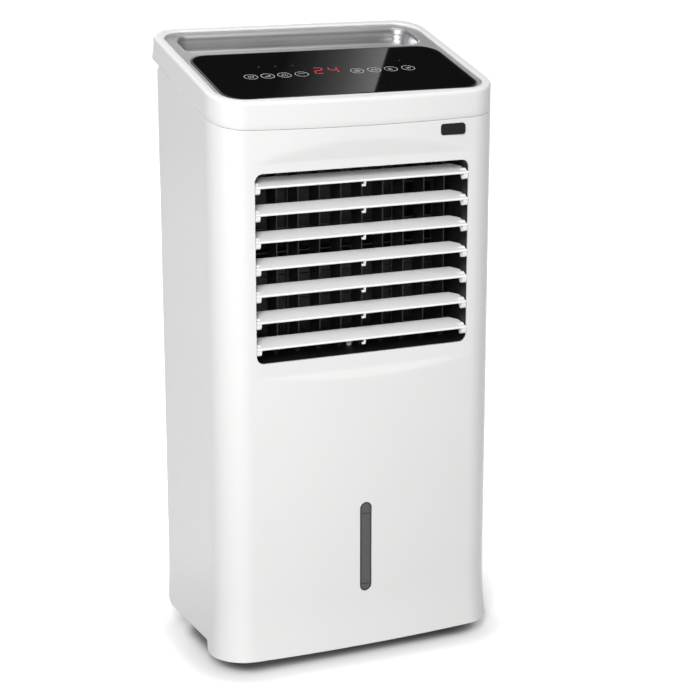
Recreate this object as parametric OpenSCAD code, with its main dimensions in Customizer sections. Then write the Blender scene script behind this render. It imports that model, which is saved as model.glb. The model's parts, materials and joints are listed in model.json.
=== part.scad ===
// Evaporative air cooler: free-standing cabinet on casters, with a tilted control head, swivelling
// outlet louvres, a centrifugal blower, a wet cooling pad in a rear cassette and a pull-out water tank.
// +X is the cooler's width, the air leaves towards -Y, +Z is up, and z = 0 is the floor.

/* [Cabinet] */
// Width of the side walls above the flared hem
body_w = 300; // [290:1:310]
// Depth of the cabinet, from the front's crown to the rear edge of the side walls
body_d = 166; // [160:1:170]
// Plan radius of the front corners
corner_r = 34; // [30:1:38]
// Plan radius of the slightly bowed front
front_r = 1500; // [1200:50:2500]
// Thickness of the moulded walls
wall = 2.6; // [2.2:0.1:3]
// Height of the front hem above the floor
hem_z = 13; // [10:1:16]
// How much higher the side hems are than the front hem
side_hem_rise = 11; // [8:1:14]
// How far the hem flares out
flare = 3.5; // [2:0.5:5]
// Height over which the hem flares
flare_h = 58; // [45:1:70]

/* [Head] */
// Height of the head's top edge at the front
head_z = 565; // [560:1:572]
// Tilt of the head's top face, rising towards the back
head_tilt = 15.5; // [14:0.5:16]
// Height of the white head ring at the front
band_h = 26; // [25:1:28]
// How far the head reaches behind the side walls
overhang = 38; // [36:1:40]
// Width of the white rim at the sides and back
rim = 9.5; // [8:0.5:11]

/* [Air outlet] */
// Width of the outlet opening
outlet_w = 227; // [224:1:228]
// Height of the outlet's lower edge
outlet_z0 = 315.5; // [314:0.5:317]
// Height of the outlet's upper edge
outlet_z1 = 499; // [498:0.5:500]
// Distance from one louvre to the next
louvre_pitch = 26; // [25.8:0.1:26.2]
// Chord of a louvre blade
louvre_chord = 26; // [24:0.5:26]
// Downward tilt of the louvres at rest
louvre_tilt = 12; // [8:1:14]
// Distance from one swing vane to the next
vane_pitch = 22.65; // [22:0.05:22.8]

/* [Water] */
// Width of the water tank
tank_w = 208; // [190:1:210]
// Height of the water tank's walls
tank_h = 130; // [110:1:131]
// Width of the pad cassette
cassette_w = 215; // [200:1:215]

/* [Casters] */
// Diameter of a caster wheel
wheel_d = 32; // [28:1:32]
// Distance from a caster's swivel axis to its wheel's axle
trail = 9; // [7:1:10]

/* [Hidden] */
$fn = 48;
hw = body_w / 2;
front_y = -(body_d + overhang - flare) / 2;
back_y = front_y + body_d;
ring_back_y = back_y + overhang;
side_hem_z = hem_z + side_hem_rise;

// Plan of the bowed front: the corner circles touch the front's large circle from inside.
corner_x = hw - corner_r;
corner_y = front_y + front_r - sqrt(pow(front_r - corner_r, 2) - pow(corner_x, 2));
bow_angle = asin(corner_x / (front_r - corner_r));

// Head: the ring lies between two tilted planes.
low_tilt = head_tilt + 0.9;
rear_lean = 5.8;
rear_r = 28;
head_len = (body_d + overhang - rear_lean) / cos(head_tilt);
rim_front = 12.5;
insert_w = body_w - 2 * rim - 0.6;
glass_w = 270;
glass_v0 = 15.5;
glass_v1 = 133;
trough_w = 254;
trough_v0 = 138;
trough_v1 = 184;
trough_depth = 17;
board_x = [-84, 14];
board_v = [46, 104];

// Outlet: a flat face cut into the bowed front carries the opening.
outlet_y = front_y + 4.3;
outlet_h = outlet_z1 - outlet_z0;
frame_front_y = outlet_y + wall + 0.6;
duct_wall = 4;
duct_w = outlet_w + 2 * duct_wall;
louvre_count = 7;
louvre_axis_y = outlet_y + 8;
louvre_top_z = 486.2;
louvre_t = 2.2;
louvre_pin_r = 2;
link_arm = 14;
link_pin_r = 1.3;
link_x = -109.5;
fit = 0.05;
vane_count = 10;
vane_axis_y = outlet_y + 36;
vane_chord = 24;
vane_t = 1.6;
vane_pin_r = 1.5;
vane_z0 = outlet_z0 + 1.5;
vane_z1 = outlet_z1 - 1.5;
vane_arm = 14;
vane_link_z = vane_z0 + 4;
outlet_back_y = outlet_y + 28.5;
duct_back_y = outlet_y + 59;

// Blower
blower_z = 293;
blower_y0 = duct_back_y + 18;
blower_y1 = blower_y0 + 60;
wheel_r = 82;
fan_blades = 32;
motor_r = 38;
shaft_r = 4;

// Rear housing and pad cassette
rear_w = 256;
rear_y = ring_back_y - 7;
rear_z0 = 38.2;
rear_z1 = 553;
panel_t = 3;
cassette_z0 = 200.5;
cassette_z1 = 529.5;
cassette_y0 = back_y - 6;
tank_z0 = 46;
tank_front_y = front_y + 17;
tank_face_w = 220;
tank_face_z0 = 44.5;
tank_face_z1 = 183.5;
tank_wall = 2.4;
float_x = -78;
float_y = 20;
pump_x = 88;
pump_y = back_y - 14;
riser_r = 5;
riser_bore = 3.5;
riser_x = 118;
riser_y = pump_y;
deck_z = 180;
deck_t = 3;

// Base and casters
base_z = 38;
base_t = 4;
caster_x = 115;
caster_y = [-62, 56];
stem_r = 4;
axle_r = 2;

// Screws of the rear panel
screw_x = 139;
screw_z = [90, 240, 390, 530];
screw_r = 1.5;

// ---------------------------------------------------------------- helpers

// A rectangle centred on x = 0, from y0 to y1, with round corners.
module round_rect(w, y0, y1, r) {
    translate([-w / 2 + r, y0]) square([w - 2 * r, y1 - y0]);
    translate([-w / 2, y0 + r]) square([w, y1 - y0 - 2 * r]);
    for (x = [-1, 1] * (w / 2 - r), y = [y0 + r, y1 - r]) translate([x, y]) circle(r);
}

// A rounded slab that stands across Y: width along X, height along Z.
module upright_slab(w, z0, z1, r, y0, y1) {
    translate([0, y1, 0]) rotate([90, 0, 0]) linear_extrude(y1 - y0) round_rect(w, z0, z1, r);
}

// A block given by its two opposite corners.
module block(a, b) {
    translate(a) cube(b - a);
}

// A cylinder along X or along Y, from a to b.
module rod_x(r, a, b, y, z) {
    translate([a, y, z]) rotate([0, 90, 0]) cylinder(r = r, h = b - a);
}
module rod_y(r, a, b, x, z) {
    translate([x, b, z]) rotate([90, 0, 0]) cylinder(r = r, h = b - a);
}

// The cabinet's plan, drawn in by inset and running back to y = back.
module plan_area(inset, back) {
    w = body_w - 2 * inset;
    reach = corner_r + 8;
    translate([-w / 2, corner_y]) square([w, back - corner_y]);
    for (x = [-1, 1] * corner_x) translate([x, corner_y]) circle(corner_r - inset);
    intersection() {
        translate([0, front_y + front_r]) circle(front_r - inset, $fn = 720);
        polygon([[-corner_x, corner_y + 1], [corner_x, corner_y + 1], [corner_x, corner_y],
                 [corner_x + reach * sin(bow_angle), corner_y - reach * cos(bow_angle)],
                 [-corner_x - reach * sin(bow_angle), corner_y - reach * cos(bow_angle)],
                 [-corner_x, corner_y]]);
    }
}

// Stations round the front and sides: a point of the plan and the direction that faces out.
function station(cx, cy, r, a) = [cx + r * sin(a), cy - r * cos(a), sin(a), -cos(a)];
function half_stations() = concat(
    [for (k = [0:3]) station(0, front_y + front_r, front_r, bow_angle * k / 3)],
    [for (k = [1:9]) station(corner_x, corner_y, corner_r, bow_angle + (90 - bow_angle) * k / 9)],
    [[hw, back_y, 1, 0]]);

// The hem's outward flare, whose inner side lies within the wall.
module hem_flare() {
    half = half_stations();
    stations = concat([for (k = [len(half) - 1 : -1 : 1]) [-half[k][0], half[k][1], -half[k][2], half[k][3]]], half);
    steps = 6;
    section = concat(
        [for (k = [0:steps]) [(flare + 0.3) * pow(1 - k / steps, 2) - 0.3, hem_z + flare_h * k / steps]],
        [[-wall / 2, hem_z + flare_h], [-wall / 2, hem_z - 2], [flare + 0.3, hem_z - 2]]);
    m = len(section);
    last = len(stations) - 1;
    polyhedron(
        [for (s = stations, c = section) [s[0] + c[0] * s[2], s[1] + c[0] * s[3], c[1]]],
        concat([[for (j = [m - 1 : -1 : 0]) j]], [[for (j = [0 : m - 1]) last * m + j]],
               [for (i = [0 : last - 1], j = [0 : m - 1]) [i * m + j, (i + 1) * m + (j + 1) % m, (i + 1) * m + j]],
               [for (i = [0 : last - 1], j = [0 : m - 1])
                   [i * m + j, i * m + (j + 1) % m, (i + 1) * m + (j + 1) % m]]));
}

// Two frames on the tilted head: y runs up the slope from the front, z is the normal.
module on_head() {
    translate([0, front_y, head_z]) rotate([head_tilt, 0, 0]) children();
}
module on_head_base() {
    translate([0, front_y, head_z - band_h]) rotate([low_tilt, 0, 0]) children();
}

// Everything above one of those two planes.
module upper_half() {
    translate([-300, -300, 0]) cube([600, 900, 300]);
}

function louvre_z(i) = louvre_top_z - louvre_pitch * (i - 1);
function vane_x(i) = vane_pitch * (i - (vane_count + 1) / 2);

// ---------------------------------------------------------------- cabinet

module front_shell() {
    surround_w = outlet_w + 8;
    color("white") difference() {
        union() {
            translate([0, 0, hem_z - 2]) linear_extrude(head_z + 60) difference() {
                plan_area(0, back_y);
                plan_area(wall, back_y + 1);
            }
            hem_flare();
            upright_slab(surround_w + 6, outlet_z0 - 26, outlet_z1 + 22, 12, outlet_y, outlet_y + wall);
            for (side = [-1, 1], z = screw_z) {
                rod_y(4.5, back_y - 26, back_y - panel_t - 0.1, side * screw_x, z);
                block([side > 0 ? screw_x : -hw + 1, back_y - 26, z - 1.2],
                      [side > 0 ? hw - 1 : -screw_x, back_y - panel_t - 0.1, z + 1.2]);
            }
        }
        on_head_base() upper_half();
        block([-hw - 10, front_y - 10, 0], [hw + 10, back_y + 10, hem_z]);
        // flat surround, with sloping ends above and below
        upright_slab(surround_w, outlet_z0 - 14, outlet_z1 + 10, 10, front_y - 5, outlet_y);
        for (up = [0, 1]) translate([0, outlet_y, up ? outlet_z1 + 10 : outlet_z0 - 14])
            rotate([up ? 24 : -24, 0, 0]) translate([-surround_w / 2, -20, up ? 0 : -30])
                cube([surround_w, 20, 30]);
        upright_slab(outlet_w, outlet_z0, outlet_z1, 8, front_y - 5, outlet_y + 5);
        gauge_slot(6.5, 163.2, front_y - 5, front_y + 5);
        upright_slab_at(94, 27, 524.5, 535.5, 3, front_y - 5, front_y + 8);
        block([-hw - 10, corner_y + 12, 0], [hw + 10, back_y + 10, side_hem_z]);
        for (side = [-1, 1], z = screw_z) rod_y(screw_r, back_y - 20, back_y, side * screw_x, z);
    }
}

// A stadium across Y, centred on x = 0 and 94 mm high at its full size.
module gauge_slot(r, z1, y0, y1) {
    half = 94 / 2;
    translate([0, y1, 0]) rotate([90, 0, 0]) linear_extrude(y1 - y0) {
        translate([-r, z1 - 2 * half + 6.5]) square([2 * r, 2 * half - 13]);
        for (z = [z1 - 2 * half + 6.5, z1 - 6.5]) translate([0, z]) circle(r);
    }
}

module upright_slab_at(x, w, z0, z1, r, y0, y1) {
    translate([x, 0, 0]) upright_slab(w, z0, z1, r, y0, y1);
}

module rear_housing() {
    box_t = 2.6;
    color("white") difference() {
        union() {
            block([-hw + wall + 0.6, back_y - panel_t, rear_z0], [hw - wall - 0.6, back_y, head_z + 60]);
            translate([0, 0, rear_z0]) linear_extrude(rear_z1 - rear_z0)
                round_rect(rear_w, back_y - panel_t, rear_y, 2.9);
        }
        // open below, where the base tray closes it
        translate([0, 0, rear_z0 - 1]) linear_extrude(rear_z1 - rear_z0 - box_t + 1)
            translate([-rear_w / 2 + box_t, back_y - 20]) square([rear_w - 2 * box_t, rear_y - box_t - back_y + 20]);
        on_head_base() translate([0, 0, -0.2]) upper_half();
        block([-tank_face_w / 2 - 0.5, rear_y - 10, tank_face_z0 - 0.5],
              [tank_face_w / 2 + 0.5, rear_y + 1, tank_face_z1 + 0.5]);
        block([-cassette_w / 2 - 0.5, rear_y - 10, cassette_z0 - 0.5],
              [cassette_w / 2 + 0.5, rear_y + 1, cassette_z1 + 0.5]);
        rod_y(2.55, rear_y - 10, rear_y + 1, 0, 192);
        rod_y(5.55, back_y - 10, back_y + 1, -137.4, 56);
        for (side = [-1, 1], z = screw_z) rod_y(2.1, back_y - 10, back_y + 1, side * screw_x, z);
    }
}

module base_tray() {
    boss_r = 8;
    color("dimgray") difference() {
        union() {
            translate([0, 0, base_z]) linear_extrude(base_t) base_plan(wall + 0.6);
            translate([0, 0, base_z]) linear_extrude(14) difference() {
                base_plan(wall + 0.6);
                base_plan(wall + 2.6);
            }
            for (x = [-1, 1] * caster_x, y = caster_y) translate([x, y, base_z]) cylinder(r = boss_r, h = 18);
            for (x = [-60, 60]) block([x - 3, tank_front_y, base_z], [x + 3, back_y, tank_z0 - 0.2]);
        }
        for (x = [-1, 1] * caster_x, y = caster_y)
            translate([x, y, base_z - 1]) cylinder(r = stem_r + fit, h = 17);
        // the tank slides in over the rear edge
        block([-tank_face_w / 2 - 1, back_y - 20, base_z + base_t], [tank_face_w / 2 + 1, rear_y + 10, base_z + 30]);
        for (x = [-60, 60]) translate([x, 0, base_z - 1]) cylinder(r = 3, h = 3);
    }
}

// The base's plan: the cabinet, and behind it the rear housing's inside.
module base_plan(inset) {
    plan_area(inset, back_y - panel_t - 0.2);
    square_w = rear_w - 2 * inset - 0.4;
    translate([-square_w / 2, 0]) square([square_w, rear_y - inset - 0.2]);
}

module mid_deck() {
    color("gainsboro") difference() {
        translate([0, 0, deck_z]) linear_extrude(deck_t) plan_area(wall + 0.5, cassette_y0 - 1);
        translate([pump_x, pump_y, deck_z - 1]) cylinder(r = riser_r + 0.6, h = deck_t + 2);
        translate([-60, 44, deck_z - 1]) cylinder(r = 4, h = deck_t + 2);
    }
}

// ---------------------------------------------------------------- head

// The head's outside: upright at the front and sides, square to the tilted top at the back.
module head_block() {
    intersection() {
        translate([0, 0, head_z - 60]) linear_extrude(180) plan_area(0, ring_back_y + 30);
        on_head() translate([0, 0, -80]) linear_extrude(80) round_rect(body_w, -90, head_len, rear_r);
        on_head_base() upper_half();
    }
}

module head_ring() {
    side_t = 3.5;
    color("white") difference() {
        head_block();
        on_head() translate([0, 0, -60]) linear_extrude(80)
            round_rect(insert_w + 0.6, rim_front, head_len - rim, 25.5);
        on_head() translate([0, 0, -83]) linear_extrude(80)
            round_rect(body_w - 2 * side_t, 9, head_len - side_t, rear_r);
    }
}

// The plate that closes the head from below, with four bosses for the power board.
module head_deck() {
    color("gainsboro") difference() {
        on_head_base() {
            translate([0, 0, 0.2]) linear_extrude(2.3) round_rect(body_w - 9, 17.5, head_len + 1.5, rear_r);
            for (x = board_x, v = board_v) translate([x, v, -12]) cylinder(r = 3.5, h = 13);
        }
        on_head_base() for (x = board_x, v = board_v) translate([x, v, -13]) cylinder(r = 1.25, h = 10);
        on_head_base() translate([40, 90, -1]) cylinder(r = 8, h = 5);
    }
}

module trim_insert() {
    top = -2;
    tub = 1.6;
    color("silver") on_head() difference() {
        union() {
            translate([0, 0, top - 2.5]) linear_extrude(2.5)
                round_rect(insert_w, rim_front + 0.3, head_len - rim - 0.3, 25);
            translate([0, 0, top - 5]) linear_extrude(2.5)
                round_rect(glass_w + 4, glass_v0 - 0.5, glass_v1 + 2, 22);
            translate([0, 0, -trough_depth - tub]) linear_extrude(trough_depth + tub + top)
                round_rect(trough_w + 2 * tub, trough_v0 - tub, trough_v1 + tub, 15.6);
        }
        translate([0, 0, top - 2.5]) linear_extrude(5) round_rect(glass_w + 0.6, glass_v0 - 0.3, glass_v1 + 0.3, 21.3);
        translate([0, 0, top - 6]) linear_extrude(8) round_rect(glass_w - 8, glass_v0 + 4, glass_v1 - 4, 17);
        translate([0, 0, -trough_depth]) linear_extrude(30) round_rect(trough_w, trough_v0, trough_v1, 14);
    }
}

module control_glass() {
    color([0.05, 0.05, 0.06]) on_head() translate([0, 0, -4.5])
        linear_extrude(2.7) round_rect(glass_w, glass_v0, glass_v1, 21);
}

module control_board() {
    color("darkgreen") on_head() difference() {
        union() {
            translate([0, 0, -11.6]) linear_extrude(1.6) round_rect(250, 24, 120, 4);
            block([-100, 34, -16], [-70, 46, -11.6]);
            block([60, 34, -15], [84, 50, -11.6]);
        }
        for (x = [-118, 118], y = [30, 114]) translate([x, y, -13]) cylinder(r = 1.6, h = 4);
    }
}

module display_led() {
    color("black") on_head() block([-21, 62, -10], [9, 90, -5]);
}

module power_board() {
    color("tan") on_head_base() {
        translate([0, 0, -13.6]) linear_extrude(1.6) difference() {
            translate([-90, 40]) square([110, 70]);
            for (x = board_x, v = board_v) translate([x, v]) circle(1.6);
        }
        block([-78, 56, -34], [-46, 88, -13.6]);
        for (x = [-30, -16]) translate([x, 74, -30]) cylinder(r = 6, h = 16.4);
        block([0, 60, -24], [12, 94, -13.6]);
    }
}

module ir_window() {
    color([0.08, 0.08, 0.09]) {
        upright_slab_at(94, 26.6, 524.7, 535.3, 2.8, front_y + 2, front_y + 7);
        upright_slab_at(94, 31, 522.5, 537.5, 3, front_y + 7, front_y + 9);
    }
}

module gauge_window() {
    color([0.3, 0.3, 0.32]) {
        gauge_slot(6.3, 163.2, front_y + 1, front_y + 3.4);
        upright_slab(22, 62, 170, 8, front_y + 3.4, front_y + 5.4);
    }
}

// ---------------------------------------------------------------- air outlet

module outlet_frame() {
    color([0.12, 0.12, 0.13]) difference() {
        upright_slab(duct_w, outlet_z0 - duct_wall, outlet_z1 + duct_wall, 11, frame_front_y, outlet_back_y);
        upright_slab(outlet_w, outlet_z0, outlet_z1, 8, outlet_y, outlet_back_y + 1);
        for (i = [1:louvre_count])
            rod_x(louvre_pin_r + fit, -duct_w / 2 - 1, duct_w / 2 + 1, louvre_axis_y, louvre_z(i));
    }
}

// A blade on its pivot axis, turned down to its rest tilt.
module louvre(i) {
    half = outlet_w / 2 - 0.7;
    edge = louvre_t / 2;
    ear_w = 5;
    color("whitesmoke") translate([0, louvre_axis_y, louvre_z(i)]) rotate([louvre_tilt, 0, 0]) {
        difference() {
            rotate([90, 0, 90]) translate([0, 0, -half]) linear_extrude(2 * half) {
                translate([-8 + edge, 0]) square([louvre_chord - 2 * edge, louvre_t]);
                for (y = [-8 + edge, louvre_chord - 8 - edge]) translate([y, edge]) circle(edge);
            }
            // the left rear corner makes room for the link bar, the right one clears the frame's corner
            block([-half - 1, link_arm - 5, -1], [link_x + 4.5, louvre_chord, louvre_t + 1]);
            translate([half, louvre_chord - 8, -1]) rotate([0, 0, 45]) cube([12, 12, 3 * louvre_t], center = true);
        }
        rod_x(link_pin_r, link_x - 1, link_x + 7.5, link_arm, edge);
        // end ears with their pivot pins
        for (side = [-1, 1]) {
            a = side > 0 ? half - ear_w : -half;
            rod_x(3.4, a, a + ear_w, 0, 0);
            rod_x(2.8, a, a + ear_w, -4.8, -3.4);
            block([a, -7.6, -3.4], [a + ear_w, 0, edge]);
            rod_x(louvre_pin_r, side > 0 ? half - 1 : -half - duct_wall,
                  side > 0 ? half + duct_wall : -half + 1, 0, 0);
        }
        // hooked thumb tab under the front edge
        block([0.4, -7.4, -4.8], [1.9, -4.9, 1]);
        block([-1.6, -7.4, -4.8], [1.9, -4.9, -3.5]);
    }
}

module louvre_link() {
    y = louvre_axis_y + link_arm * cos(louvre_tilt) - louvre_t / 2 * sin(louvre_tilt);
    dz = link_arm * sin(louvre_tilt) + louvre_t / 2 * cos(louvre_tilt);
    color([0.15, 0.15, 0.16]) difference() {
        union() {
            block([link_x, y - 2.6, louvre_z(louvre_count) + dz], [link_x + 2, y + 2.6, louvre_z(1) + dz]);
            for (i = [1:louvre_count]) rod_x(2.6, link_x, link_x + 2, y, louvre_z(i) + dz);
        }
        for (i = [1:louvre_count]) rod_x(link_pin_r + fit, link_x - 1, link_x + 3, y, louvre_z(i) + dz);
    }
}

module duct_frame() {
    grid_t = 1.4;
    color([0.12, 0.12, 0.13]) difference() {
        union() {
            difference() {
                upright_slab(duct_w, outlet_z0 - duct_wall, outlet_z1 + duct_wall, 11, outlet_back_y, duct_back_y);
                upright_slab(outlet_w, outlet_z0, outlet_z1, 8, outlet_back_y - 1, duct_back_y + 1);
            }
            for (z = [outlet_z0 + 12 : 12 : outlet_z1 - 8])
                block([-outlet_w / 2 - 1, duct_back_y - 3, z - grid_t / 2],
                      [outlet_w / 2 + 1, duct_back_y, z + grid_t / 2]);
            for (x = [-1, 0, 1] * 57)
                block([x - 1, duct_back_y - 3, outlet_z0 - 1], [x + 1, duct_back_y, outlet_z1 + 1]);
        }
        for (i = [1:vane_count]) translate([vane_x(i), vane_axis_y, outlet_z0 - duct_wall - 1])
            cylinder(r = vane_pin_r + fit, h = outlet_h + 2 * duct_wall + 2);
        translate([0, vane_axis_y, outlet_z0 - duct_wall - 1]) cylinder(r = 3, h = duct_wall + 2);
    }
}

// A swing vane on its pivot axis, with a notch for the link bar.
module vane(i) {
    h = vane_z1 - vane_z0;
    edge = vane_t / 2;
    color([0.16, 0.16, 0.17]) translate([vane_x(i), vane_axis_y, vane_z0]) {
        difference() {
            linear_extrude(h) {
                translate([-edge, -6 + edge]) square([vane_t, vane_chord - 2 * edge]);
                for (y = [-6 + edge, vane_chord - 6 - edge]) translate([0, y]) circle(edge);
            }
            block([-5, vane_arm - 4.6, 2.4], [5, vane_chord, 7.6]);
        }
        translate([0, vane_arm, 1]) cylinder(r = link_pin_r, h = 8);
        for (z = [-duct_wall, h - 1]) translate([0, 0, z]) cylinder(r = vane_pin_r, h = duct_wall + 1);
        for (z = [0, h - 3]) translate([0, 0, z]) cylinder(r = 2.4, h = 3);
    }
}

module vane_link() {
    color([0.2, 0.2, 0.21]) translate([0, vane_axis_y + vane_arm, vane_link_z]) difference() {
        union() {
            block([vane_x(1), -2.6, 0], [vane_x(vane_count), 2.6, 2]);
            for (i = [1, vane_count]) translate([vane_x(i), 0, 0]) cylinder(r = 2.6, h = 2);
        }
        for (i = [1:vane_count]) translate([vane_x(i), 0, -1]) cylinder(r = link_pin_r + fit, h = 4);
        translate([0, 0, -1]) cylinder(r = link_pin_r + fit, h = 4);
    }
}

module swing_motor() {
    top = outlet_z0 - duct_wall;
    color("silver") difference() {
        union() {
            translate([0, vane_axis_y, top - 20]) cylinder(r = 14, h = 19);
            block([-21, vane_axis_y - 5, top - 1], [21, vane_axis_y + 5, top]);
            block([-8, vane_axis_y + 12, top - 18], [8, vane_axis_y + 18, top - 4]);
        }
        for (x = [-17.5, 17.5]) translate([x, vane_axis_y, top - 2]) cylinder(r = 2, h = 3);
        translate([0, vane_axis_y, top - 8]) cylinder(r = 2.5 + fit, h = 9);
    }
}

module swing_crank() {
    color("ivory") translate([0, vane_axis_y, 0]) {
        translate([0, 0, outlet_z0 - duct_wall - 7])
            cylinder(r = 2.5, h = vane_link_z - 1.6 - outlet_z0 + duct_wall + 7);
        translate([0, 0, vane_link_z - 2.6]) linear_extrude(2) {
            circle(3.6);
            translate([-2.6, 0]) square([5.2, vane_arm]);
            translate([0, vane_arm]) circle(2.6);
        }
        translate([0, vane_arm, vane_link_z - 1]) cylinder(r = link_pin_r, h = 3.6);
    }
}

// ---------------------------------------------------------------- blower

// The scroll's spiral, open upwards on the +X side into the upper air box.
module scroll_plan(inset) {
    a0 = 60;
    spiral = [for (a = [a0 : 10 : 360]) (90 + 25 * (a - a0) / 300 - inset) * [cos(a), sin(a)]];
    side = 115 - inset;
    polygon(concat(spiral, [[side, 120], [90 * cos(a0) + inset, 120]]));
    translate([-side, 103 + inset]) square([2 * side, outlet_z1 + duct_wall - blower_z - 103 - 2 * inset]);
}

module blower_housing() {
    t = 2;
    color([0.2, 0.2, 0.21]) difference() {
        union() {
            translate([0, blower_y1, blower_z]) rotate([90, 0, 0])
                linear_extrude(blower_y1 - blower_y0) scroll_plan(0);
            upright_slab(duct_w, outlet_z0 - duct_wall, outlet_z1 + duct_wall, 11, duct_back_y, blower_y0 + t);
        }
        translate([0, blower_y1 - t, blower_z]) rotate([90, 0, 0])
            linear_extrude(blower_y1 - blower_y0 - 2 * t) scroll_plan(t);
        upright_slab(outlet_w, outlet_z0, outlet_z1, 8, duct_back_y - 1, blower_y0);
        upright_slab(outlet_w - 6, blower_z + 103 + 2 * t, outlet_z1 - 1, 6, blower_y0 - 1, blower_y0 + t + 1);
        rod_y(66, blower_y1 - t - 1, blower_y1 + 1, 0, blower_z);
        rod_y(7, blower_y0 - 1, blower_y0 + t + 1, 0, blower_z);
    }
}

module blower_wheel() {
    y0 = blower_y0 + 6;
    color("dimgray") translate([0, y0, blower_z]) rotate([-90, 0, 0]) {
        rotate_extrude($fn = 96) {
            polygon([[shaft_r, 24], [43, 24], [43, 0], [wheel_r, 0], [wheel_r, 2.5], [45.5, 2.5],
                     [45.5, 26.5], [10, 26.5], [10, 38], [shaft_r, 38]]);
            translate([wheel_r - 8, 45]) square([8, 3]);
        }
        for (a = [0 : 360 / fan_blades : 359]) rotate([0, 0, a]) translate([wheel_r - 14, 0, 2])
            rotate([0, 0, 38]) cube([15, 1, 43.5]);
    }
}

module motor_shaft() {
    color("silver") rod_y(shaft_r, blower_y0 + 3, blower_y0 + 43, 0, blower_z);
}

module fan_motor() {
    color("darkgray") difference() {
        union() {
            rod_y(motor_r, blower_y0 + 2, blower_y0 + 28, 0, blower_z);
            rod_y(6.5, blower_y0 - 1, blower_y0 + 3, 0, blower_z);
        }
        rod_y(shaft_r + fit, blower_y0 + 2.5, blower_y0 + 29, 0, blower_z);
    }
}

// ---------------------------------------------------------------- water and pad

module cooling_pad() {
    half = cassette_w / 2 - 2.5;
    color("burlywood") block([-half, cassette_y0 + 2, cassette_z0 + 2.5], [half, rear_y - 6, cassette_z1 - 2.5]);
}

module pad_frame() {
    t = 2.2;
    lip = 6;
    half = cassette_w / 2;
    color("whitesmoke") difference() {
        block([-half, cassette_y0, cassette_z0], [half, rear_y - 4, cassette_z1]);
        block([-half + t, cassette_y0 + 1.8, cassette_z0 + t], [half - t, rear_y, cassette_z1 - t]);
        block([-half + lip, cassette_y0 - 1, cassette_z0 + lip], [half - lip, rear_y, cassette_z1 - lip]);
        block([-90, cassette_y0 + 12, cassette_z1 - 4], [90, cassette_y0 + 26, cassette_z1 + 1]);
        block([-90, cassette_y0 + 12, cassette_z0 - 1], [90, cassette_y0 + 26, cassette_z0 + 4]);
    }
}

module rear_grille() {
    half = cassette_w / 2;
    border = 12;
    slot_pitch = 11;
    slot_h = 7;
    rows = floor((cassette_z1 - cassette_z0 - 2 * border) / slot_pitch);
    z0 = (cassette_z0 + cassette_z1 - rows * slot_pitch + slot_pitch - slot_h) / 2;
    column_w = (2 * half - 2 * border) / 3;
    color("white") difference() {
        block([-half, rear_y - 4, cassette_z0], [half, rear_y, cassette_z1]);
        for (r = [0 : rows - 1], c = [0 : 2])
            translate([-half + border + c * column_w + 2, rear_y - 6, z0 + r * slot_pitch])
                cube([column_w - 4, 8, slot_h]);
        block([-half + 4, rear_y - 6, 350], [-half + 10, rear_y + 1, 380]);
        block([half - 10, rear_y - 6, 350], [half - 4, rear_y + 1, 380]);
    }
}

module dust_filter() {
    half = cassette_w / 2 - 3;
    color([0.3, 0.3, 0.32])
        block([-half, rear_y - 5.4, cassette_z0 + 3], [half, rear_y - 4.2, cassette_z1 - 3]);
}

module water_distributor() {
    half = 104;
    y0 = cassette_y0 + 6;
    y1 = rear_y - 6;
    z0 = cassette_z1 + 2;
    t = 1.6;
    color("aliceblue") difference() {
        block([-half, y0, z0], [half, y1, z0 + 15]);
        block([-half + t, y0 + t, z0 + t], [half - t, y1 - t, z0 + 16]);
        for (x = [-84 : 14 : 84]) translate([x, cassette_y0 + 19, z0 - 1]) cylinder(r = 1.5, h = 4);
        rod_x(riser_r + 0.1, half - 5, half + 5, riser_y + 26, z0 + 8);
    }
}

// The riser's route, from above the pump to the distributor's end wall.
module riser_path(r) {
    z0 = 190;
    z1 = cassette_z1 + 10;
    for (p = [[pump_x, riser_y, z0], [riser_x, riser_y, z0], [riser_x, riser_y, z1], [riser_x, riser_y + 26, z1]])
        translate(p) sphere(r);
    rod_x(r, pump_x, riser_x, riser_y, z0);
    translate([riser_x, riser_y, z0]) cylinder(r = r, h = z1 - z0);
    rod_y(r, riser_y, riser_y + 26, riser_x, z1);
}

module riser_tube() {
    z1 = cassette_z1 + 10;
    color("lightgray") difference() {
        union() {
            riser_path(riser_r);
            translate([pump_x, riser_y, deck_z + 0.5]) cylinder(r = riser_r, h = 190 - deck_z);
            rod_x(riser_r, 100, riser_x, riser_y + 26, z1);
        }
        riser_path(riser_bore);
        translate([pump_x, riser_y, deck_z]) cylinder(r = riser_bore, h = 190 - deck_z);
        rod_x(riser_bore, 99, riser_x, riser_y + 26, z1);
    }
}

module water_pump() {
    z0 = tank_z0 + tank_wall;
    color("darkslategray") difference() {
        union() {
            block([pump_x - 22, pump_y - 16, z0 + 3], [pump_x + 13, pump_y + 16, z0 + 34]);
            for (x = [pump_x - 16, pump_x + 7], y = [-10, 10])
                translate([x, pump_y + y, z0]) cylinder(r = 4, h = 4);
            translate([pump_x, pump_y, z0 + 30]) cylinder(r = 4.5, h = deck_z - 2 - z0 - 30);
        }
        translate([pump_x, pump_y, z0 + 28]) cylinder(r = 3, h = deck_z - z0);
        for (z = [z0 + 9 : 6 : z0 + 28]) block([pump_x - 24, pump_y - 12, z], [pump_x - 19, pump_y + 12, z + 3]);
    }
}

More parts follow.
